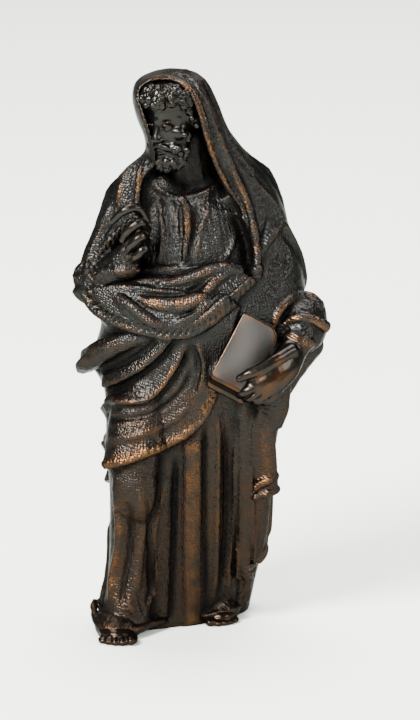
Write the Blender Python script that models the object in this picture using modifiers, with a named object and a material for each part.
"""Bronze statuette of a standing hooded saint who holds a book.

The figure is one casting. It is built like a clay model: lofts, tubes and balls are laid on each other and
fused into one skin, strokes press the folds of the drapery in and out of that skin, and it is then cut
down to facets.
"""

import math

import bmesh
import bpy
import numpy as np
from mathutils import Euler, Matrix, Vector
from mathutils.bvhtree import BVHTree

# Driving dimensions, in metres.
STATUE_HEIGHT = 0.168
BOOK_LENGTH = 0.0215
BOOK_WIDTH = 0.0125
BOOK_THICKNESS = 0.0050
BOOK_BED_DEPTH = 0.012
HEM_RADIUS = 0.0012
HOOD_RIM_RADIUS = 0.0012
FINGER_RADIUS = 0.00155

# The clay tables below are written in shares: 168 of them make the statue's height.
SHARE = STATUE_HEIGHT / 168
VIEW_ELEVATION = math.radians(14)
CLAY_GRAIN = 0.85 * SHARE
MOST_TRIANGLES = 9600

BRONZE_COLOUR = (0.075, 0.048, 0.030, 1.0)
BRONZE_ROUGHNESS = 0.34


def on_view(u, v, y):
    """The point at depth y, seen u to the right and v above the origin, from the front and a little above."""
    z = (v - y * math.sin(VIEW_ELEVATION)) / math.cos(VIEW_ELEVATION)
    return Vector((u, y, z)) * SHARE


def smooth_path(points, steps=6):
    """A Catmull-Rom curve through the points, with any number of values a point."""
    points = np.array([tuple(point) for point in points], float)
    ends = np.vstack([2 * points[0] - points[1], points, 2 * points[-1] - points[-2]])
    out = []
    for a, b, c, d in zip(ends, ends[1:], ends[2:], ends[3:]):
        for t in np.arange(steps) / steps:
            slope, bend = (c - a) * t, (2 * a - 5 * b + 4 * c - d) * t**2
            out.append(0.5 * (2 * b + slope + bend + (3 * b - a - 3 * c + d) * t**3))
    return np.array([*out, points[-1]])


def scene_object(name, data):
    thing = bpy.data.objects.new(name, data)
    bpy.context.scene.collection.objects.link(thing)
    return thing


def evaluated(thing):
    """The object's mesh with its modifiers applied; the object itself goes."""
    bpy.context.view_layer.update()
    graph = bpy.context.evaluated_depsgraph_get()
    mesh = bpy.data.meshes.new_from_object(thing.evaluated_get(graph))
    old = thing.data
    bpy.data.objects.remove(thing)
    bpy.data.batch_remove([old])
    return mesh


class Clay:
    """Closed forms laid on each other, before they are fused."""

    def __init__(self):
        self.form = bmesh.new()

    def take(self, mesh):
        self.form.from_mesh(mesh)
        bpy.data.meshes.remove(mesh)

    def loft(self, rings):
        """A closed skin through rings of points, each with as many points."""
        loops = [[self.form.verts.new(point) for point in ring] for ring in rings]
        faces = [self.form.faces.new(loops[0][::-1]), self.form.faces.new(loops[-1])]
        for low, high in zip(loops, loops[1:]):
            for i in range(len(low)):
                j = (i + 1) % len(low)
                faces.append(self.form.faces.new((low[i], low[j], high[j], high[i])))
        bmesh.ops.recalc_face_normals(self.form, faces=faces)

    def tube(self, path, radii, steps=6):
        """A round bar along the path, whose radius runs through the radii, with round ends."""
        path = smooth_path(path, steps)
        radii = np.interp(np.linspace(0, 1, len(path)), np.linspace(0, 1, len(radii)), radii)
        curve = bpy.data.curves.new("bar", "CURVE")
        curve.dimensions = "3D"
        curve.bevel_depth = 1
        curve.bevel_resolution = 3
        curve.use_fill_caps = True
        line = curve.splines.new("POLY")
        line.points.add(len(path) - 1)
        for point, place, radius in zip(line.points, path, radii):
            point.co = (*place, 1)
            point.radius = radius
        self.take(evaluated(scene_object("bar", curve)))
        for end, radius in ((path[0], radii[0]), (path[-1], radii[-1])):
            self.ball(end, (radius,) * 3)

    def strap(self, path, widths, thicknesses, facing=(0, -1, 0), sides=14):
        """An oval section carried along the path: its width lies across, its thickness along the facing."""
        path = smooth_path(path, 6)
        share = np.linspace(0, 1, len(path))
        widths = np.interp(share, np.linspace(0, 1, len(widths)), widths)
        thicknesses = np.interp(share, np.linspace(0, 1, len(thicknesses)), thicknesses)
        along = np.gradient(path, axis=0)
        along /= np.linalg.norm(along, axis=1)[:, None]
        across = np.cross(along, np.array(facing, float))
        across /= np.linalg.norm(across, axis=1)[:, None]
        raised = np.cross(across, along)
        angles = np.arange(sides) * 2 * math.pi / sides
        self.loft([
            [Vector(p + w * math.cos(a) * x + h * math.sin(a) * n) for a in angles]
            for p, x, n, w, h in zip(path, across, raised, widths, thicknesses)
        ])

    def ball(self, centre, radii, turn=(0, 0, 0)):
        """An ellipsoid with these three radii, turned by three angles in degrees."""
        place = Matrix.Translation(centre) @ Euler([math.radians(a) for a in turn]).to_matrix().to_4x4()
        sphere = bmesh.new()
        bmesh.ops.create_uvsphere(sphere, u_segments=20, v_segments=12, radius=1)
        bmesh.ops.transform(sphere, matrix=place @ Matrix.Diagonal((*radii, 1)), verts=sphere.verts)
        mesh = bpy.data.meshes.new("ball")
        sphere.to_mesh(mesh)
        sphere.free()
        self.take(mesh)

    def box(self, place, size):
        """A box with these three sides, centred at the place's own origin."""
        bmesh.ops.create_cube(self.form, size=1, matrix=place @ Matrix.Diagonal((*size, 1)))

    def mesh(self, name):
        mesh = bpy.data.meshes.new(name)
        bmesh.ops.triangulate(self.form, faces=[f for f in self.form.faces if len(f.verts) > 4])
        self.form.to_mesh(mesh)
        self.form.free()
        return mesh


def fused(mesh, grain):
    """One skin round everything in the mesh, with quads of about the grain's size."""
    thing = scene_object("fusing", mesh)
    remesh = thing.modifiers.new("fuse", "REMESH")
    remesh.mode = "VOXEL"
    remesh.voxel_size = grain
    remesh.use_smooth_shade = True
    return evaluated(thing)


def cut(mesh, cutter):
    """The mesh less the cutter."""
    thing = scene_object("cutting", mesh)
    tool = scene_object("cutter", cutter)
    boolean = thing.modifiers.new("cut", "BOOLEAN")
    boolean.operation = "DIFFERENCE"
    boolean.object = tool
    result = evaluated(thing)
    bpy.data.objects.remove(tool)
    bpy.data.meshes.remove(cutter)
    return result


# The draped mass, from the ground to the hood's top. Each row is a level: height, middle x and y, how far
# the left, right, front and back reach, and how much deeper the ring runs for each share to the right.
MASS = (
    (0, -3, 4, -25.0, 20.6, -9.5, 20, 0.42),
    (8, -3, 4, -24.2, 22.2, -10.5, 21, 0.38),
    (20, -3, 3, -21.4, 24.8, -12.5, 22, 0.30),
    (30, -3, 3, -20.9, 26, -14, 22.5, 0.22),
    (41, -3, 3, -20.8, 26, -15.5, 22.5, 0.16),
    (51, -3, 3, -21.8, 25.7, -17, 22.5, 0.11),
    (61, -3, 3, -22.0, 26.7, -18.5, 22, 0.07),
    (70, -3, 3, -22.4, 28.5, -19.5, 21.5, 0.03),
    (77, -3, 2, -24.0, 30, -20, 21, 0),
    (82, -3, 2, -25.4, 31, -20.3, 20.5, 0),
    (87, -3, 2, -24.2, 32.5, -20.8, 20, 0),
    (92, -2.5, 2, -23.4, 34.5, -22, 19.7, 0),
    (97, -2, 2, -26.6, 36.6, -22.8, 19.3, 0),
    (103, -1.5, 2, -28.9, 36.8, -20.5, 19, 0),
    (108, -1, 2, -28.3, 36.0, -18, 18.8, 0),
    (113, -0.5, 2, -26.7, 34.7, -16, 18.6, 0),
    (118, 0, 2, -24.6, 33.0, -15, 18.3, 0),
    (123, 0, 2, -22.8, 31.4, -14, 18, 0),
    (128, 0, 2, -21.2, 29.6, -13, 17.7, 0),
    (133, 0, 2, -19.3, 27.4, -12.5, 17.3, 0),
    (137, 0, 2, -16.2, 24.9, -12.8, 16.9, 0),
    (140, 0, 2, -12.5, 22.2, -13.5, 16.5, 0),
    (143, 0, 2, -10.3, 19.0, -14.5, 16, 0),
    (148, -1, 1.5, -10.6, 15.2, -16, 15, 0),
    (153, -2, 1, -12.5, 12.8, -17, 14, 0),
    (158, -3, 0, -13.8, 10.8, -17, 12, 0),
    (162, -3, -1, -13.8, 9, -16, 9.5, 0),
    (165, -3.5, -2, -12.2, 7.3, -13.5, 7, 0),
    (167, -3, -2, -9, 5.0, -10.5, 3.5, 0),
    (168, -2.5, -2.5, -5.5, 1.8, -7, 0.5, 0),
)
FORWARD_LEG = (
    (1.2, -16.5, -12, -24, -9, -21.5, 0, 0),
    (8, -16.5, -12, -22.8, -8.5, -21, 0, 0),
    (20, -15.5, -12, -21.2, -8.5, -19.6, 0, 0),
    (35, -14.5, -12, -20.8, -7, -20.4, 0, 0),
    (47, -13.5, -12, -21.0, -5.5, -22.6, 0, 0),
    (53, -13, -12, -21.6, -5, -23.3, 0, 0),
    (60, -12.5, -11, -21.6, -4, -22.6, 0, 0),
    (70, -11, -10, -20, -3, -21.4, 0, 0),
    (80, -9, -9, -16, -2, -19.5, 0, 0),
)
CHEST = (
    (90, 2, 0, -16, 24, -16, 12, 0),
    (104, 2, 0, -15, 23, -15.8, 12, 0),
    (114, 3, 0, -14, 21.5, -14.8, 12, 0),
    (122, 3, 0, -13, 19.5, -12.8, 12, 0),
    (128, 3, 0, -12, 17, -10.2, 11, 0),
    (132, 3, 0, -9.5, 13.5, -6.8, 10, 0),
    (135, 3, 1, -6, 10, -3.5, 8, 0),
)
RING_SIDES = 64
RING_SQUARENESS = 2.3


def level_ring(row):
    """A soft oval whose four quarters reach as far as the row says."""
    z, x_middle, y_middle, left, right, front, back, skew = row
    ring = []
    for step in range(RING_SIDES):
        angle = step * 2 * math.pi / RING_SIDES
        c, s = math.cos(angle), math.sin(angle)
        x_reach = (right - x_middle) if c > 0 else (x_middle - left)
        y_reach = (back - y_middle) if s > 0 else (y_middle - front)
        power = 2 / RING_SQUARENESS
        x = x_middle + x_reach * math.copysign(abs(c) ** power, c)
        y = y_middle + y_reach * math.copysign(abs(s) ** power, s) + skew * (x - x_middle)
        ring.append(Vector((x, y, z)) * SHARE)
    return ring


def level_loft(clay, rows):
    clay.loft([level_ring(row) for row in smooth_path(rows, 3)])


# Outlines of the openings as they are seen from the front: right, up.
HOOD_OPENING = (
    (-7.0, 135), (-7.4, 139.5), (-8.8, 144.5), (-10.6, 150), (-11.9, 155), (-10.6, 158.6), (-6.5, 160.2),
    (-1, 159.6), (2.8, 156.6), (5.6, 151), (7.6, 144), (9.4, 137.5), (11.8, 131.5), (14.5, 126.5), (8, 124),
    (-4, 124), (-9.5, 129),
)
CHEST_OPENING = (
    (-9.5, 134), (-11.2, 131), (-12, 126), (-12.2, 119.5), (-17.5, 114.5), (-22.2, 108.5), (-25, 102),
    (-25, 97.5),
    (-16, 99.8), (-8.5, 101), (-1.5, 101), (5.2, 102.5), (11.2, 104), (17, 103), (21.5, 101), (21.8, 110),
    (19.8, 118), (17.5, 124.5), (14.5, 131), (10, 135), (0, 137),
)


# How the openings narrow as they run in: a depth, a size and a shift to the right.
CHEST_STATIONS = ((-45, 1, 0), (-14, 1, 0), (-9, 0.95, 0), (-7, 0.9, 0))
HOOD_STATIONS = ((-46, 1, 0), (-1, 1, 0), (5, 0.8, 1.0))


def opening(outline, stations):
    """A cutter with this outline on the view plane, running in through the stations."""
    outline = smooth_path([*outline, outline[0]], 4)[:-1]
    middle = outline.mean(axis=0)
    clay = Clay()
    clay.loft([
        [on_view(*(middle + (point - middle) * size + (shift, 0)), y) for point in outline]
        for y, size, shift in stations
    ])
    return clay.mesh("opening")


HEAD_PLACE = (-0.6, -5.2, 155.0)
HEAD_SIZE = 1.07
HEAD_TURN = 42
HEAD_BOW = 10
HEAD_TILT = -4

# The head in its own frame, with its face towards the front. Balls are a middle and three radii, and those of
# the second table come in pairs, left and right.
HEAD_BALLS = (
    ((0, 1.2, 2.4), (7.7, 9.0, 7.7)), ((0, -2.4, 3.6), (6.6, 6.6, 5.2)), ((0, -2.9, -1.6), (6.3, 6.2, 7.6)),
    ((0, -4.4, -7.6), (5.2, 4.9, 4.8)), ((0, -8.4, 1.6), (1.6, 1.1, 1.2)), ((0, -5.6, -10.2),
    (4.6, 4.1, 4.4)),
    ((0, -8.6, -6.6), (2.6, 1.1, 1.9)), ((0, -2.6, 6.4), (7.8, 7.6, 5.6)),
)
PAIRED_BALLS = (
    ((2.9, -7.8, 2.1), (2.6, 1.5, 1.0)), ((4.0, -6.1, -2.6), (2.6, 2.4, 2.0)), ((1.25, -9.7, -3.9),
    (1.0, 1.3, 0.9)),
    ((3.0, -7.0, -6.6), (2.2, 1.8, 1.8)), ((7.2, 0.2, -1.2), (0.9, 1.7, 2.4)), ((2.9, -7.3, -0.5),
    (1.5, 1.4, 1.2)),
)
NOSE = ((0, -8.6, 1.2), (0, -9.6, -1.4), (0, -10.7, -3.5))
NOSE_RADII = (0.9, 1.0, 1.25)
MOUSTACHE = ((0.3, -9.8, -5.4), (2.2, -9.2, -6.2), (4.1, -7.8, -8.4))
MOUSTACHE_RADII = (0.8, 1.0, 0.7)

# Rows of curls on either side: height, nearest and farthest turn from the middle, how many, size.
HAIR_ROWS = (
    (6.9, 10, 88, 5, 1.5), (9.0, 9, 84, 5, 1.5), (11.4, 10, 78, 4, 1.5), (14.5, 12, 66, 3, 1.5),
    (19.5, 14, 60, 3, 1.5), (28.0, 20, 70, 2, 1.5), (4.6, 74, 90, 2, 1.3), (2.2, 82, 82, 1, 1.3),
    (-0.2, 84, 84, 1, 1.25),
)
BEARD_ROWS = (
    (-4.8, 72, 86, 2, 1.2), (-6.8, 58, 84, 2, 1.2), (-8.8, 36, 80, 3, 1.2), (-10.4, 12, 78, 4, 1.2),
    (-12.2, 10, 66, 3, 1.25), (-14.0, 10, 50, 2, 1.2),
)
CURL_REACH = 9.0
CURL_AXIS = -2.4
CURL_LIFT = 0.15
CURL_SHARE = 0.8


def head(clay):
    """The head, modelled with its face towards the front, then turned and bowed into place."""
    bow = Euler((math.radians(HEAD_BOW), math.radians(HEAD_TILT), 0)).to_matrix().to_4x4()
    place = Matrix.Rotation(math.radians(-HEAD_TURN), 4, "Z") @ bow
    place.translation = Vector(HEAD_PLACE) * SHARE
    turn = [math.degrees(angle) for angle in place.to_euler()]

    def set_in(middle):
        return place @ (Vector(middle) * SHARE * HEAD_SIZE)

    bare = Clay()
    mirrored = [((x * side, y, z), sizes) for (x, y, z), sizes in PAIRED_BALLS for side in (-1, 1)]
    for middle, sizes in (*HEAD_BALLS, *mirrored):
        bare.ball(Vector(middle) * SHARE, radii(*sizes))
        clay.ball(set_in(middle), [r * HEAD_SIZE for r in radii(*sizes)], turn)
    clay.tube([set_in(point) for point in NOSE], [r * HEAD_SIZE for r in radii(*NOSE_RADII)])
    for side in (-1, 1):
        path = [set_in((x * side, y, z)) for x, y, z in MOUSTACHE]
        clay.tube(path, [r * HEAD_SIZE for r in radii(*MOUSTACHE_RADII)])
    ground = Ground(bare.mesh("bare_head"))
    for height, near, far, number, size in (*HAIR_ROWS, *BEARD_ROWS):
        turns = np.radians(np.linspace(near, far, number))
        for angle in (*-turns, *turns):
            beside = Vector((math.sin(angle), -math.cos(angle), 0)) * CURL_REACH
            beside += Vector((0, CURL_AXIS, height))
            surface, normal, _, _ = ground.tree.find_nearest(beside * SHARE)
            middle = (surface + normal * size * CURL_LIFT * SHARE) * HEAD_SIZE
            clay.ball(place @ middle, [size * CURL_SHARE * SHARE * HEAD_SIZE] * 3)


def shares(rows):
    """Points given as right, up and depth, in shares, on the front view."""
    return [on_view(*row) for row in rows]


def radii(*values):
    return [value * SHARE for value in values]


def raised_hand(clay):
    """The right forearm in its sleeve, and the hand that holds the edge of the mantle."""
    clay.tube(shares([(-25, 100.5, -4), (-20, 103, -9.5), (-15.5, 107.5, -14.5)]), radii(6.4, 5.6, 4.3))
    clay.tube(shares([(-16, 106.6, -14.2), (-13.4, 110.5, -17.2), (-12.2, 113, -18)]), radii(4.7, 3.0, 3.2))
    clay.ball(on_view(-12.4, 113.5, -18.3), radii(3.6, 3.0, 5.2), (0, 20, 0))
    for finger in RAISED_FINGERS:
        clay.tube(shares(finger), [FINGER_RADIUS * k for k in (1.05, 1.1, 1.0, 0.8)])


RAISED_FINGERS = (
    ((-10.0, 118.5, -18.0), (-12.4, 121.8, -20.8), (-16.2, 121.0, -22.2), (-19.4, 118.2, -20.4)),
    ((-9.6, 115.5, -18.5), (-11.6, 117.6, -22.2), (-14.8, 115.4, -22.8), (-16.6, 112.6, -20.6)),
    ((-9.8, 112.0, -18.5), (-11.2, 113.6, -22.3), (-13.8, 111.3, -22.6), (-15.2, 109.2, -20.4)),
    ((-9.8, 108.6, -18.0), (-10.4, 110.0, -21.5), (-12.4, 108.0, -21.8), (-13.6, 106.6, -20.0)),
)

# The back lower left corner of the book, and the way its width and its length run.
BOOK_CORNER = (8.8, 72.6, -21.6)
BOOK_ACROSS = (0.88, -0.12, -0.446)
BOOK_ALONG = (0.465, 0.25, 0.85)


def book_place():
    across = Vector(BOOK_ACROSS).normalized()
    along = Vector(BOOK_ALONG)
    along = (along - across * along.dot(across)).normalized()
    out = across.cross(along)
    middle = across * BOOK_WIDTH / 2 + along * BOOK_LENGTH / 2 + out * BOOK_THICKNESS / 2
    turn = Matrix((across, along, out)).transposed().to_4x4()
    return Matrix.Translation(on_view(*BOOK_CORNER) + middle) @ turn


def book_bed():
    """A cutter that clears the cloth in front of the cover."""
    clay = Clay()
    offset = Matrix.Translation((0, 0, (BOOK_THICKNESS + BOOK_BED_DEPTH) / 2))
    clay.box(book_place() @ offset, (BOOK_WIDTH, BOOK_LENGTH, BOOK_BED_DEPTH))
    return clay.mesh("book_bed")


def book(clay):
    """Two covers that stand a little over the leaves between them."""
    place = book_place()
    board = BOOK_THICKNESS * 0.26
    lip = BOOK_THICKNESS * 0.14
    for side in (-1, 1):
        offset = Matrix.Translation((0, 0, side * (BOOK_THICKNESS - board) / 2))
        clay.box(place @ offset, (BOOK_WIDTH, BOOK_LENGTH, board))
    clay.box(place, (BOOK_WIDTH - 2 * lip, BOOK_LENGTH - 2 * lip, BOOK_THICKNESS * 0.8))


def book_hand(clay):
    """The left hand: its back towards the viewer, the fingers under the book, the thumb over the cover."""
    clay.tube(shares([(37, 91, -5), (35.5, 86, -11), (34, 81.5, -15)]), radii(6.4, 5.8, 4.4))
    back = shares(BOOK_HAND_BACK)
    clay.strap(back, radii(*BOOK_HAND_WIDTHS), radii(*BOOK_HAND_DEPTHS), (0.35, -0.85, 0.15))
    for finger in BOOK_FINGERS:
        clay.tube(shares(finger), [FINGER_RADIUS * k for k in (1.2, 1.15, 1.0, 0.8)])
    clay.tube(shares(BOOK_THUMB), [FINGER_RADIUS * k for k in (1.5, 1.25, 1.0, 0.95, 0.75)])


BOOK_HAND_BACK = (
    (35.4, 84.4, -12), (33.6, 80.2, -16.5), (30.6, 75.4, -21.6), (26.8, 71.6, -25.0), (22.8, 69.2, -26.3),
    (19.8, 67.8, -26.0),
)
BOOK_HAND_WIDTHS = (3.8, 4.2, 5.2, 5.3, 4.2, 3.0)
BOOK_HAND_DEPTHS = (3.4, 3.2, 2.9, 2.5, 2.1, 1.6)
BOOK_FINGERS = (
    ((25.0, 72.2, -27.6), (22.0, 70.2, -28.3), (18.6, 68.0, -28.2), (16.6, 67.4, -25.6)),
    ((26.2, 70.4, -27.0), (23.4, 68.4, -27.9), (20.4, 66.6, -27.5), (18.9, 66.3, -24.8)),
    ((27.6, 69.4, -26.2), (25.2, 67.4, -27.2), (22.6, 65.7, -26.4), (21.2, 65.6, -24.0)),
    ((29.2, 69.2, -25.0), (27.4, 67.0, -25.8), (25.2, 65.4, -25.0), (24.0, 65.4, -22.6)),
)
BOOK_THUMB = (
    (32.6, 80.2, -20.5), (28.0, 77.6, -24.6), (23.9, 75.0, -26.8), (20.2, 73.4, -27.7), (17.6, 72.2, -27.6),
)


def feet(clay):
    """The forward right foot and the left foot, each with five toes, and the robe that breaks over them."""
    for middle, sizes in (*INSTEPS, *FOOT_COVERS):
        clay.ball(Vector(middle) * SHARE, radii(*sizes))
    for path, sizes in FOOT_HEMS:
        clay.tube(shares(path), radii(*sizes))
    for x, y, size in TOES:
        clay.ball(Vector((x, y + size * 1.2, size * 0.8)) * SHARE, radii(size, size * 2.0, size * 0.8))


INSTEPS = (((-18.6, -19, 2.6), (6.0, 8.2, 2.6)), ((12, -1, 2.4), (4.6, 6.4, 2.4)))
FOOT_COVERS = (((-18.4, -15.5, 3.0), (7.2, 9.6, 5.2)), ((12.2, 1.0, 3.0), (5.8, 6.0, 4.0)))
FOOT_HEMS = (
    (((-25.6, 5.6, -6), (-25.4, 1.4, -14), (-23.4, -1.2, -20.5), (-18.9, -2.2, -24.0), (-13.4, -2.2, -21.5),
      (-8.6, -0.6, -15.5), (-4.0, 0.2, -10)), (0.9, 1.2, 1.3, 1.3, 1.3, 1.2, 0.8)),
    (((5.6, 1.0, -4.5), (9.4, 1.6, -5.6), (13.6, 2.4, -4.4), (17.8, 4.2, -1)), (0.8, 1.0, 1.0, 0.8)),
)
# Middle of each toe, and its radius.
TOES = (
    (-23.0, -26.6, 1.2), (-21.2, -28.0, 1.3), (-19.2, -29.0, 1.4), (-17.0, -29.3, 1.5), (-14.4, -29.0, 1.9),
    (8.8, -8.0, 1.7), (11.2, -8.2, 1.3), (13.2, -7.4, 1.2), (15.0, -6.2, 1.1), (16.4, -4.6, 1.1),
)


class Ground:
    """The form that strokes and rims are laid on, seen from any side."""

    def __init__(self, mesh):
        thing = scene_object("ground", mesh)
        bpy.context.view_layer.update()
        self.tree = BVHTree.FromObject(thing, bpy.context.evaluated_depsgraph_get())
        bpy.data.objects.remove(thing)

    def drop(self, view, u, v):
        """Where the view's line of sight at u, v meets the form, and the normal there."""
        right, up, back = view
        start = (right * u + up * v) * SHARE + back
        place, normal, _, _ = self.tree.ray_cast(start, -back)
        if place is None:
            place, normal, _, _ = self.tree.find_nearest((right * u + up * v) * SHARE)
        return place, normal

    def laid(self, view, points, lift):
        out = []
        for u, v in points:
            place, normal = self.drop(view, u, v)
            out.append(place + normal * lift * SHARE)
        return out


def seen_from(turn, elevation=0.0):
    """Right, up and backward directions of a viewer who has walked this many degrees round the figure."""
    turn = math.radians(turn)
    right = Vector((math.cos(turn), math.sin(turn), 0))
    level = math.cos(elevation)
    back = Vector((math.sin(turn) * level, -math.cos(turn) * level, math.sin(elevation)))
    return right, back.cross(right), back


FRONT = seen_from(0, VIEW_ELEVATION)

HOOD_RIM = (
    (-8.4, 137), (-8.9, 141), (-10.4, 147), (-12.0, 152), (-12.6, 155.8), (-11.0, 159.2), (-6.8, 161.0),
    (-1.8, 160.6), (2.4, 157.9), (4.9, 153.6), (6.8, 148.6), (8.4, 142.6), (10.2, 137.0), (12.6, 131.5),
    (15.6, 126.5), (18.2, 122.5),
)
HOOD_RIM_SHARES = (0.5, 0.5, 0.5, 0.9, 1, 1, 0.6)
SLING_RIM = (
    (-13.5, 118.5), (-18.2, 114.7), (-23.2, 108.5), (-26.0, 101.7), (-26.0, 95.6), (-21.7, 90.8),
    (-14.7, 87.7),
    (-8.2, 85.8), (-2.2, 85.2), (3.5, 86.0), (9.5, 89.7), (15.2, 94.7), (21.2, 100.2),
)


def rims(clay, ground):
    """The edges of the hood and of the mantle, and the loose rolls of cloth, laid on the draped mass."""
    clay.tube(ground.laid(FRONT, HOOD_RIM, -0.2), [HOOD_RIM_RADIUS * k for k in HOOD_RIM_SHARES], 4)
    clay.tube(ground.laid(FRONT, SLING_RIM, 0.7), [HEM_RADIUS * k for k in (0.7, 1, 1, 1, 1, 0.9)], 4)
    for points, lift, sizes in ROLLS:
        clay.tube(ground.laid(FRONT, points, lift), radii(*sizes), 4)


# Loose rolls and folds that stand off the mass: outline on the front view, lift, radii.
ROLLS = (
    (((-1.2, 161.3), (3.6, 159.3), (7.0, 154.6), (9.8, 147.7), (12.5, 140), (16, 131.8),
     (19.2, 124.8), (21.4, 117),
      (22.6, 110), (22.9, 102)), 0.1, (0.6, 1.2, 1.3, 1.4, 1.5, 1.2)),
    (((1.8, 162.6), (6.8, 159.2), (10.3, 152.5), (13.3, 144.7), (17, 137.8),
     (21.2, 133)), 0, (0.5, 1.1, 1.2, 0.8)),
    (((-14.5, 131.5), (-17.4, 127.5), (-18.4, 120.5)), 0.3, (0.5, 0.8, 0.8)),
    (((-9.8, 136), (-11.4, 132), (-12.2, 126.5), (-12.4, 121)), 0.5, (0.8, 0.9, 0.9)),
    (((-11.7, 96.2), (-7.5, 94.2), (-0.5, 93.6), (4.7, 94.8), (7.7, 97.4), (10.5, 100.6),
     (14.3, 102.6)), -0.3,
     (0.9, 1.8, 1.9, 1.5, 0.9)),
    (((-18.2, 96.6), (-14.7, 93.2), (-10, 89.4)), -0.4, (0.8, 1.6, 0.8)),
    (((-12, 98.6), (-5, 99.3), (1, 100.6), (7, 102.8), (12.5, 104.2),
     (17, 103.4)), -0.6, (0.8, 1.4, 1.5, 1.3)),
    (((26.7, 85.2), (28, 90), (30.8, 94), (34.8, 96.4), (39, 96.2), (42, 94),
     (43, 91)), 0.2, (1.1, 1.5, 1.7, 1.5)),
    (((27.6, 84.6), (30.8, 87.8), (34.5, 89.8), (38.8, 89.2), (42.2, 87), (43.4, 84.5), (42.3, 81.6),
     (40, 79)), 0.4,
     (1.0, 1.4, 1.7, 1.8, 1.3)),
    (((29.6, 83.4), (32.8, 84.6), (35.8, 84), (38.3, 81.8), (39, 79.2),
     (38, 77)), 0.2, (0.9, 1.1, 1.2, 0.8)),
    (((30.5, 114.6), (32.5, 111.3), (33.3, 107.8), (32.8, 104), (30.6, 101.2)), -0.2, (0.6, 1.1, 1.3, 0.9)),
    (((21.5, 131), (24.8, 127), (27.6, 123.5), (29.6, 118.5), (27.7, 114.5), (25.2, 111),
     (23.4, 107)), -0.2,
     (0.6, 1.1, 1.2, 1.2, 0.8)),
)


def cloth_ends(clay):
    """The knotted fold at the hip, the pleated end under the hand and the strip that hangs from it."""
    knob = shares([(-27.2, 76.8, 1), (-26.0, 78.2, -6), (-22, 80.6, -13), (-16.5, 82.8, -17.5),
    (-10, 84.3, -19.6)])
    clay.tube(knob, radii(2.9, 3.7, 3.7, 2.8, 1.4))
    elbow_fall = shares([(38.4, 82, -1), (33.6, 75, -2.5), (28.6, 66, -4), (24.5, 57, -5)])
    clay.tube(elbow_fall, radii(4.2, 3.6, 3.0, 2.6))
    long_fall = shares([(26.5, 70, -12), (24.6, 60, -11), (23, 46, -8), (22.4, 32, -4.5), (22, 21, -1)])
    clay.tube(long_fall, radii(5.4, 5.0, 4.6, 4.2, 3.4))
    pleats = shares([(28.5, 71, -15), (28, 64, -15), (27, 58, -13.5)])
    clay.strap(pleats, radii(4.4, 4.4, 3.2), radii(3.0, 2.8, 2.2))
    strip = shares([(25.8, 62, -14.6), (25.2, 54, -14), (25.4, 46, -12.6), (25.8, 38.0, -10.8)])
    clay.strap(strip, radii(3.0, 3.2, 3.4, 3.5), radii(1.8, 1.8, 1.9, 2.4))
    clay.tube(shares([(23.0, 40.2, -13.0), (26, 42.2, -13.8), (28.2, 43.4, -11.5)]), radii(1.2, 1.5, 1.3))
    clay.tube(shares([(22.8, 37.4, -12), (26, 38.2, -13.2), (28.6, 39.4, -10.6)]), radii(1.2, 1.5, 1.3))
    behind_book = shares([(9.5, 76, -16.8), (15, 73.6, -17.6), (22, 70.6, -17.4), (27, 69, -15.5)])
    clay.tube(behind_book, radii(3.0, 4.2, 4.6, 4.2))
    clay.ball(on_view(*CUFF_PLACE), radii(*CUFF_RADII))


CUFF_PLACE = (35.7, 88.0, -6)
CUFF_RADII = (8.0, 9.6, 9.0)


# How far a stroke lifts the skin across its width, from its right edge to its left edge.
PROFILES = {
    "ridge": ((-1, 0), (-0.6, 0.22), (-0.3, 0.72), (0, 1), (0.3, 0.72), (0.6, 0.22), (1, 0)),
    "roll": ((-1, 0), (-0.9, 0.44), (-0.6, 0.8), (0, 1), (0.6, 0.8), (0.9, 0.44), (1, 0)),
    "valley": ((-1, 0), (-0.5, -0.2), (-0.2, -0.7), (0, -1), (0.2, -0.7), (0.5, -0.2), (1, 0)),
    "fold": ((-1, 0), (-0.6, -0.3), (-0.42, -0.5), (-0.25, 0.3), (-0.1, 0.95), (0.05, 1), (0.5, 0.4),
    (1, 0)),
    "lap": ((-0.35, 0), (-0.15, -0.3), (-0.04, -0.3), (0.06, 0.9), (0.15, 1), (0.5, 0.55), (1, 0)),
}


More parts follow.
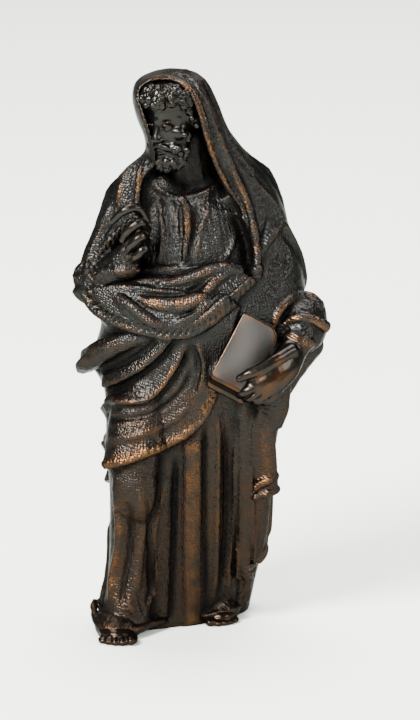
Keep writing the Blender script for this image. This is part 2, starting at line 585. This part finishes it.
class Skin:
    """The fused skin, whose points the strokes press in and out along its normals."""

    def __init__(self, mesh):
        self.mesh = mesh
        self.read()

    def read(self):
        count = len(self.mesh.vertices)
        places, normals = np.empty(count * 3), np.empty(count * 3)
        self.mesh.vertices.foreach_get("co", places)
        self.mesh.vertices.foreach_get("normal", normals)
        edges = np.empty(len(self.mesh.edges) * 2, int)
        self.mesh.edges.foreach_get("vertices", edges)
        ends = edges.reshape(-1, 2)
        self.places, normals = places.reshape(-1, 3), normals.reshape(-1, 3)
        for _ in range(4):
            spread = normals.copy()
            for axis in range(3):
                spread[:, axis] += np.bincount(ends[:, 0], normals[ends[:, 1], axis], count)
                spread[:, axis] += np.bincount(ends[:, 1], normals[ends[:, 0], axis], count)
            normals = spread / np.linalg.norm(spread, axis=1)[:, None]
        self.normals = normals
        self.ground = Ground(self.mesh)

    def write(self):
        self.mesh.vertices.foreach_set("co", self.places.ravel())
        self.mesh.update()

    def draw(self, view, strokes):
        """Strokes of one view: profile, half width, height, then the points."""
        for profile, width, height, points in strokes:
            self.stroke(view, points, profile, width * SHARE, height * SHARE)
        self.write()
        self.read()

    def stroke(self, view, points, profile, width, height):
        hits = [self.ground.drop(view, u, v) for u, v in smooth_path(points, 8)]
        line = np.array([place for place, _ in hits])
        out = np.array([normal for _, normal in hits])
        weights = np.ones(5) / 5
        columns = [np.pad(out[:, k], 2, "edge") for k in range(3)]
        out = np.stack([np.convolve(column, weights, "valid") for column in columns], axis=1)
        out /= np.linalg.norm(out, axis=1)[:, None]
        along = np.gradient(line, axis=0)
        along /= np.linalg.norm(along, axis=1)[:, None] + 1e-12
        left = np.cross(out, along)
        reach = width * 1.3
        low, high = line.min(axis=0) - reach, line.max(axis=0) + reach
        box = ((self.places > low) & (self.places < high)).all(axis=1)
        near = np.flatnonzero(box)
        for part in np.array_split(near, len(near) // 20000 + 1):
            away = self.places[part][:, None, :] - line[None, :, :]
            nearest = (away**2).sum(axis=2).argmin(axis=1)
            away = away[np.arange(len(part)), nearest]
            side = (away * left[nearest]).sum(axis=1) / width
            depth = np.abs((away * out[nearest]).sum(axis=1))
            ahead = (away * along[nearest]).sum(axis=1)
            step = np.linalg.norm(line[-1] - line[0]) / len(line) + 1e-9
            progress = (nearest + ahead / step) / (len(line) - 1)
            fade = np.clip(progress / 0.16, 0, 1) * np.clip((1 - progress) / 0.16, 0, 1)
            facing = np.clip((self.normals[part] * out[nearest]).sum(axis=1) / 0.4, 0, 1)
            facing *= depth < 2.2 * width
            lift = np.interp(side, *np.array(PROFILES[profile]).T) * height * fade * facing
            lift[np.abs(side) > 1] = 0
            self.places[part] += self.normals[part] * lift[:, None]

    def layer(self, view, outline, height, edge, fall):
        """Lifts what the view sees inside the outline: fully an edge's width in, and less farther in."""
        right, up, back = view
        u = self.places @ np.array(right) / SHARE
        v = self.places @ np.array(up) / SHARE
        outline = smooth_path([*outline, outline[0]], 4)[:-1]
        inside = np.zeros(len(u), bool)
        distance = np.full(len(u), 1e9)
        for (u0, v0), (u1, v1) in zip(outline, np.roll(outline, -1, axis=0)):
            crosses = (v0 > v) != (v1 > v)
            if v1 != v0:
                inside ^= crosses & (u < (u1 - u0) * (v - v0) / (v1 - v0) + u0)
            length = (u1 - u0) ** 2 + (v1 - v0) ** 2 + 1e-12
            share = np.clip(((u - u0) * (u1 - u0) + (v - v0) * (v1 - v0)) / length, 0, 1)
            distance = np.minimum(distance, np.hypot(u - u0 - share * (u1 - u0), v - v0 - share * (v1 - v0)))
        facing = np.clip(self.normals @ np.array(back) / 0.3, 0, 1)
        lift = np.interp(distance, (0, edge, fall), (0, 1, 0.25)) * inside * facing * height * SHARE
        self.places += self.normals * lift[:, None]
        self.write()
        self.read()

    def stand(self):
        """Presses the underside flat on the ground."""
        self.places[self.places[:, 2] < 0.45 * CLAY_GRAIN, 2] = 0
        self.write()


MANTLE_HEM = ((-26, 44.5), (-22.7, 45.7), (-17.7, 46.7), (-10.5, 49.2), (-4.2, 52), (1.2, 55),
(5.2, 59), (8.2, 63.5),
              (10, 68), (12, 74))
MANTLE_LAYER = (*MANTLE_HEM, (14, 79), (16.5, 88), (13, 96), (-40, 96), (-40, 44))
SWAG_LAYER = (*SLING_RIM[4:], (21, 106), (-28, 104))

FRONT_STROKES = (
    ("lap", 5.0, 1.5, MANTLE_HEM),
    ("roll", 1.3, 0.7, tuple((u + 0.3, v + 1.2) for u, v in MANTLE_HEM)),
    ("fold", 4.2, 1.9, ((-25, 69.5), (-22.5, 70.3), (-17.7, 71.7), (-13, 74.2), (-8.7, 77.5),
         (-4.7, 81.7), (-3, 84.2))),
    ("fold", 3.8, 1.7, ((-24, 66), (-18.2, 65.3), (-13.5, 65.2), (-9.7, 66), (-6, 69.2), (-2.7, 73.5),
         (0, 78.2), (1.7, 82.7))),
    ("fold", 3.0, 1.1, ((4.7, 83.5), (6, 80), (7, 75.7), (6, 70), (3.5, 65))),
    ("valley", 2.2, 1.3, ((-26, 73), (-19, 75.5), (-13.5, 78.2), (-9, 81.4), (-6.5, 84))),
    ("valley", 2.4, 1.2, ((-24, 61), (-17, 60.5), (-9, 61.5), (-2.5, 65.5), (1.5, 70), (3.6, 76))),
    ("ridge", 2.6, 0.9, ((-22, 55), (-15, 54.8), (-8, 57), (-1, 60.5), (3.5, 65.5))),
    ("ridge", 2.4, 1.2, ((-19.5, 37.5), (-18, 28.7), (-18.5, 21.5), (-20, 14.7), (-21, 5))),
    ("valley", 2.6, 1.4, ((-15.6, 36), (-14.4, 29), (-15, 20), (-16.8, 11), (-17.6, 4))),
    ("ridge", 2.4, 1.1, ((-11.7, 41), (-11, 30.2), (-12, 18.5), (-13.5, 5))),
    ("fold", 3.4, 1.8, ((-4.4, 42), (-6.6, 34), (-8.2, 27), (-8.0, 20), (-7.2, 13), (-9.5, 6), (-10.5, 1))),
    ("roll", 3.1, 1.5, ((3.7, 56), (3.7, 50), (3.7, 36.2), (3.3, 18.5), (3.7, 3), (3.8, -3))),
    ("valley", 2.3, 1.9, ((-1.3, 50), (-1.7, 30.2), (-2.2, 12.7), (-3, -3))),
    ("valley", 2.3, 1.8, ((7.9, 60), (7.7, 50), (7.6, 36.2), (7.8, 18.5), (8.2, 0))),
    ("ridge", 1.9, 1.1, ((11, 64), (11.2, 50), (11, 34), (10.6, 18), (9.8, 4))),
    ("valley", 1.9, 1.5, ((14.2, 60), (14.2, 36.2), (13, 18.5), (11.2, 5))),
    ("ridge", 1.8, 1.1, ((16.2, 60), (16.2, 36.2), (15, 20), (13.4, 5))),
    ("valley", 2.0, 1.6, ((18.7, 60), (18.5, 36.2), (18.2, 21.5), (18.5, 8))),
    ("ridge", 2.0, 1.2, ((21.6, 62), (21.4, 48), (21.4, 34), (21.8, 22), (21, 13))),
    ("valley", 1.5, 0.9, ((1.7, 158), (5.4, 153.6), (7.6, 147.6), (9.9, 140.6), (12.8, 133.5),
         (16.2, 126.6), (19.4, 119), (20.4, 108))),
    ("valley", 1.6, 1.0, ((5.4, 159), (8.8, 153.5), (11.6, 146.2), (14.8, 138.5), (18.6, 131),
         (22.4, 122))),
    ("ridge", 1.5, 0.8, ((-6.2, 127.6), (-5.6, 120.5), (-5, 114.5), (-6.2, 105))),
    ("ridge", 1.4, 0.7, ((-2, 125.6), (-1.5, 120.2), (-0.6, 114), (-1.2, 104))),
    ("ridge", 1.7, 0.8, ((1.6, 121), (1.9, 116), (2.1, 110), (2.2, 104))),
    ("ridge", 1.5, 0.8, ((8.4, 127.8), (8, 121.2), (6, 115.2), (4.8, 105))),
    ("valley", 1.2, 0.7, ((-3.9, 126), (-3.5, 118), (-3.2, 108))),
    ("valley", 1.3, 0.7, ((5.2, 125.5), (4.6, 118), (3.6, 108))),
    ("ridge", 1.6, 0.9, ((16.2, 116), (15, 110.5), (12.2, 105))),
    ("ridge", 1.6, 0.9, ((12.5, 121), (16.7, 120.4), (19.8, 118))),
    ("roll", 0.9, 0.6, ((-8.6, 129.4), (-5, 126.9), (-0.5, 125.3), (4.7, 126), (9.5, 128), (13.4, 129.6))),
    ("fold", 3.0, 1.3, ((20, 97.5), (12, 92.8), (5.5, 90), (-2, 89), (-9, 89.7), (-16, 92.3), (-22.5, 96))),
    ("valley", 1.7, 1.0, ((-15.5, 97.6), (-9, 96.8), (-2, 96.8), (3.5, 98), (8, 101))),
    ("ridge", 1.5, 0.8, ((27.6, 106.5), (28.8, 104.6), (31.6, 106.6))),
    ("valley", 1.6, 0.9, ((26.6, 121.5), (25.2, 116), (23.2, 111))),
    ("ridge", 1.3, 0.8, ((-19, 126), (-22, 118.5), (-26, 110), (-28.2, 102))),
    ("valley", 1.2, 0.7, ((-16.6, 126), (-19.6, 119), (-23.6, 112.5))),
)
RIGHT_STROKES = (
    ("fold", 3.2, 1.6, ((-6, 66), (-3, 52), (0, 38), (1, 24), (-2, 10))),
    ("fold", 3.4, 1.7, ((2, 80), (5, 64), (7, 48), (8.5, 32), (8, 16))),
    ("fold", 3.4, 1.7, ((10, 92), (13, 74), (14.5, 56), (15.5, 38), (14.5, 18))),
    ("valley", 2.4, 1.4, ((5, 118), (8, 104), (10.5, 92))),
    ("ridge", 2.6, 1.4, ((2, 142), (6.5, 128), (10, 112), (13, 96))),
    ("ridge", 2.4, 1.3, ((-4, 124), (-1, 116), (4, 106), (7, 98))),
    ("lap", 4.5, 1.4, ((-2, 14.5), (3, 16), (11, 19), (20, 21))),
)
BACK_STROKES = (
    ("fold", 3.6, 1.7, ((-9, 150), (-12, 132), (-14.5, 112), (-16, 92), (-18, 70), (-19, 48), (-20, 26))),
    ("fold", 3.8, 1.9, ((-1.5, 146), (-3, 128), (-5, 106), (-8, 84), (-10, 62), (-11, 42), (-12, 27))),
    ("fold", 3.8, 1.9, ((5.5, 140), (5.5, 122), (4, 102), (1, 82), (-1.5, 62), (-3, 44), (-3.5, 27))),
    ("fold", 3.6, 1.8, ((12, 134), (13.5, 118), (13.5, 100), (11, 82), (7.5, 64), (5, 46), (4.5, 27))),
    ("fold", 3.4, 1.7, ((20, 126), (21.5, 108), (20.5, 92), (18, 76), (15, 58), (12.5, 42), (12, 28))),
    ("ridge", 2.4, 1.1, ((-24, 112), (-25, 96), (-25.5, 80), (-24.5, 60), (-23, 40))),
    ("lap", 5.0, 1.8, ((-28, 24), (-18, 25.5), (-8, 26.5), (2, 27.5), (12, 29.5), (24, 33))),
    ("valley", 2.4, 1.6, ((-15, 24), (-15.5, 12), (-16, 0))),
    ("valley", 2.4, 1.7, ((-8.5, 25), (-8.5, 12), (-9, 0))),
    ("valley", 2.4, 1.6, ((-2, 26), (-2, 12), (-2.5, 0))),
    ("valley", 2.4, 1.6, ((5, 27), (5.5, 13), (5.5, 0))),
    ("valley", 2.4, 1.5, ((12, 28), (13, 14), (14, 0))),
    ("ridge", 2.2, 0.9, ((-9, 163), (-4, 158), (3, 153), (9, 150))),
)
LEFT_STROKES = (
    ("fold", 3.2, 1.6, ((12, 84), (6, 80), (-1, 77), (-9, 76.5))),
    ("fold", 3.4, 1.6, ((14, 74), (7, 68), (-1, 65), (-10, 65))),
    ("fold", 3.2, 1.4, ((12, 61), (5, 56), (-3, 54), (-12, 56))),
    ("lap", 4.6, 1.7, ((-24, 33), (-12, 38), (0, 42.5), (12, 47))),
    ("ridge", 2.4, 1.2, ((8, 34), (8, 20), (9, 5))),
    ("valley", 2.2, 1.4, ((2.5, 36), (2.5, 20), (3, 4))),
    ("ridge", 2.4, 1.2, ((-4, 32), (-5, 18), (-6, 4))),
    ("valley", 2.2, 1.4, ((-10, 30), (-11, 18), (-12, 4))),
    ("fold", 3.2, 1.5, ((-2, 136), (-4, 122), (-4, 108), (0, 98))),
    ("fold", 3.0, 1.3, ((4, 128), (4, 116), (6, 104))),
    ("ridge", 2.2, 1.0, ((-10, 128), (-12, 112), (-11, 96), (-8, 86))),
)


# The head and the hands keep smaller facets: middle in shares, and reach.
FINE_PLACES = (((-3, -9, 153), 17), ((-13, -20, 118), 9), ((24, -22, 78), 12))
COARSE_WEIGHT = 1.0
FINE_WEIGHT = 0.9
FACET_FOCUS = 0.05


def faceted(mesh, most):
    """The mesh in no more than this many triangles, the smallest of them at the head and the hands."""
    thing = scene_object("facets", mesh)
    group = thing.vertex_groups.new(name="facets")
    for vertex in mesh.vertices:
        fine = any((vertex.co / SHARE - Vector(middle)).length < reach for middle, reach in FINE_PLACES)
        group.add([vertex.index], FINE_WEIGHT if fine else COARSE_WEIGHT, "REPLACE")
    triangles = sum(len(face.vertices) - 2 for face in mesh.polygons)
    decimate = thing.modifiers.new("facets", "DECIMATE")
    decimate.ratio = min(1, most / triangles)
    decimate.use_collapse_triangulate = True
    decimate.vertex_group = group.name
    decimate.vertex_group_factor = FACET_FOCUS
    return evaluated(thing)


def cast_bronze():
    bronze = bpy.data.materials.new("Cast bronze, dark lacquer patina")
    bronze.use_nodes = True
    shader = bronze.node_tree.nodes["Principled BSDF"]
    shader.inputs["Base Color"].default_value = BRONZE_COLOUR
    shader.inputs["Roughness"].default_value = BRONZE_ROUGHNESS
    shader.inputs["Metallic"].default_value = 1
    return bronze


NECK = ((4, 4, 126), (3, 1, 136), (1.5, -1, 146))
NECK_RADII = (8, 6.2, 6)
LAPEL = ((-10.5, 136), (-13.4, 131.5), (-15.2, 126), (-15.6, 120.5))
LAPEL_WIDTHS = (2.2, 3.4, 3.6, 3.0)
LAPEL_DEPTHS = (1.0, 1.1, 1.1, 1.0)
KNEE_PLACE = (-13.2, 41.5)
KNEE_RADII = (6.6, 5.4, 8.0)
KNEE_SWELL = 1.4
# How far the mantle and its swag lie over the cloth beneath: lift, width of the edge, reach.
MANTLE_LIFT = (1.5, 1.2, 14)
SWAG_LIFT = (1.4, 1.2, 9)


def modelled():
    """The whole figure as one fused skin, before the strokes."""
    base = Clay()
    for rows in (MASS, FORWARD_LEG):
        level_loft(base, rows)
    base.ball(on_view(*CUFF_PLACE), radii(*CUFF_RADII))
    ground = Ground(base.mesh("ground"))
    mass = Clay()
    level_loft(mass, MASS)
    body = mass.mesh("mass")
    body = cut(body, opening(CHEST_OPENING, CHEST_STATIONS))
    body = cut(body, opening(HOOD_OPENING, HOOD_STATIONS))
    body = cut(body, book_bed())
    clay = Clay()
    clay.take(body)
    for rows in (FORWARD_LEG, CHEST):
        level_loft(clay, rows)
    clay.tube([Vector(point) * SHARE for point in NECK], radii(*NECK_RADII))
    for part in (head, raised_hand, book, book_hand, feet, cloth_ends):
        part(clay)
    clay.strap(ground.laid(FRONT, LAPEL, -0.2), radii(*LAPEL_WIDTHS), radii(*LAPEL_DEPTHS))
    knee, = ground.laid(FRONT, (KNEE_PLACE,), KNEE_SWELL - KNEE_RADII[1])
    clay.ball(knee, radii(*KNEE_RADII))
    rims(clay, ground)
    return fused(clay.mesh("clay"), CLAY_GRAIN)


def main():
    for thing in list(bpy.data.objects):
        bpy.data.objects.remove(thing, do_unlink=True)
    skin = Skin(modelled())
    skin.layer(FRONT, MANTLE_LAYER, *MANTLE_LIFT)
    skin.layer(FRONT, SWAG_LAYER, *SWAG_LIFT)
    for turn, strokes in ((90, RIGHT_STROKES), (180, BACK_STROKES), (270, LEFT_STROKES)):
        skin.draw(seen_from(turn), strokes)
    skin.draw(FRONT, FRONT_STROKES)
    skin.stand()
    statue = scene_object("bronze_saint", faceted(skin.mesh, MOST_TRIANGLES))
    statue.data.materials.append(cast_bronze())
    figure = bpy.data.collections.new("Bronze saint statuette")
    bpy.context.scene.collection.children.link(figure)
    bpy.context.scene.collection.objects.unlink(statue)
    figure.objects.link(statue)
    return statue


if __name__ == "__main__":
    main()
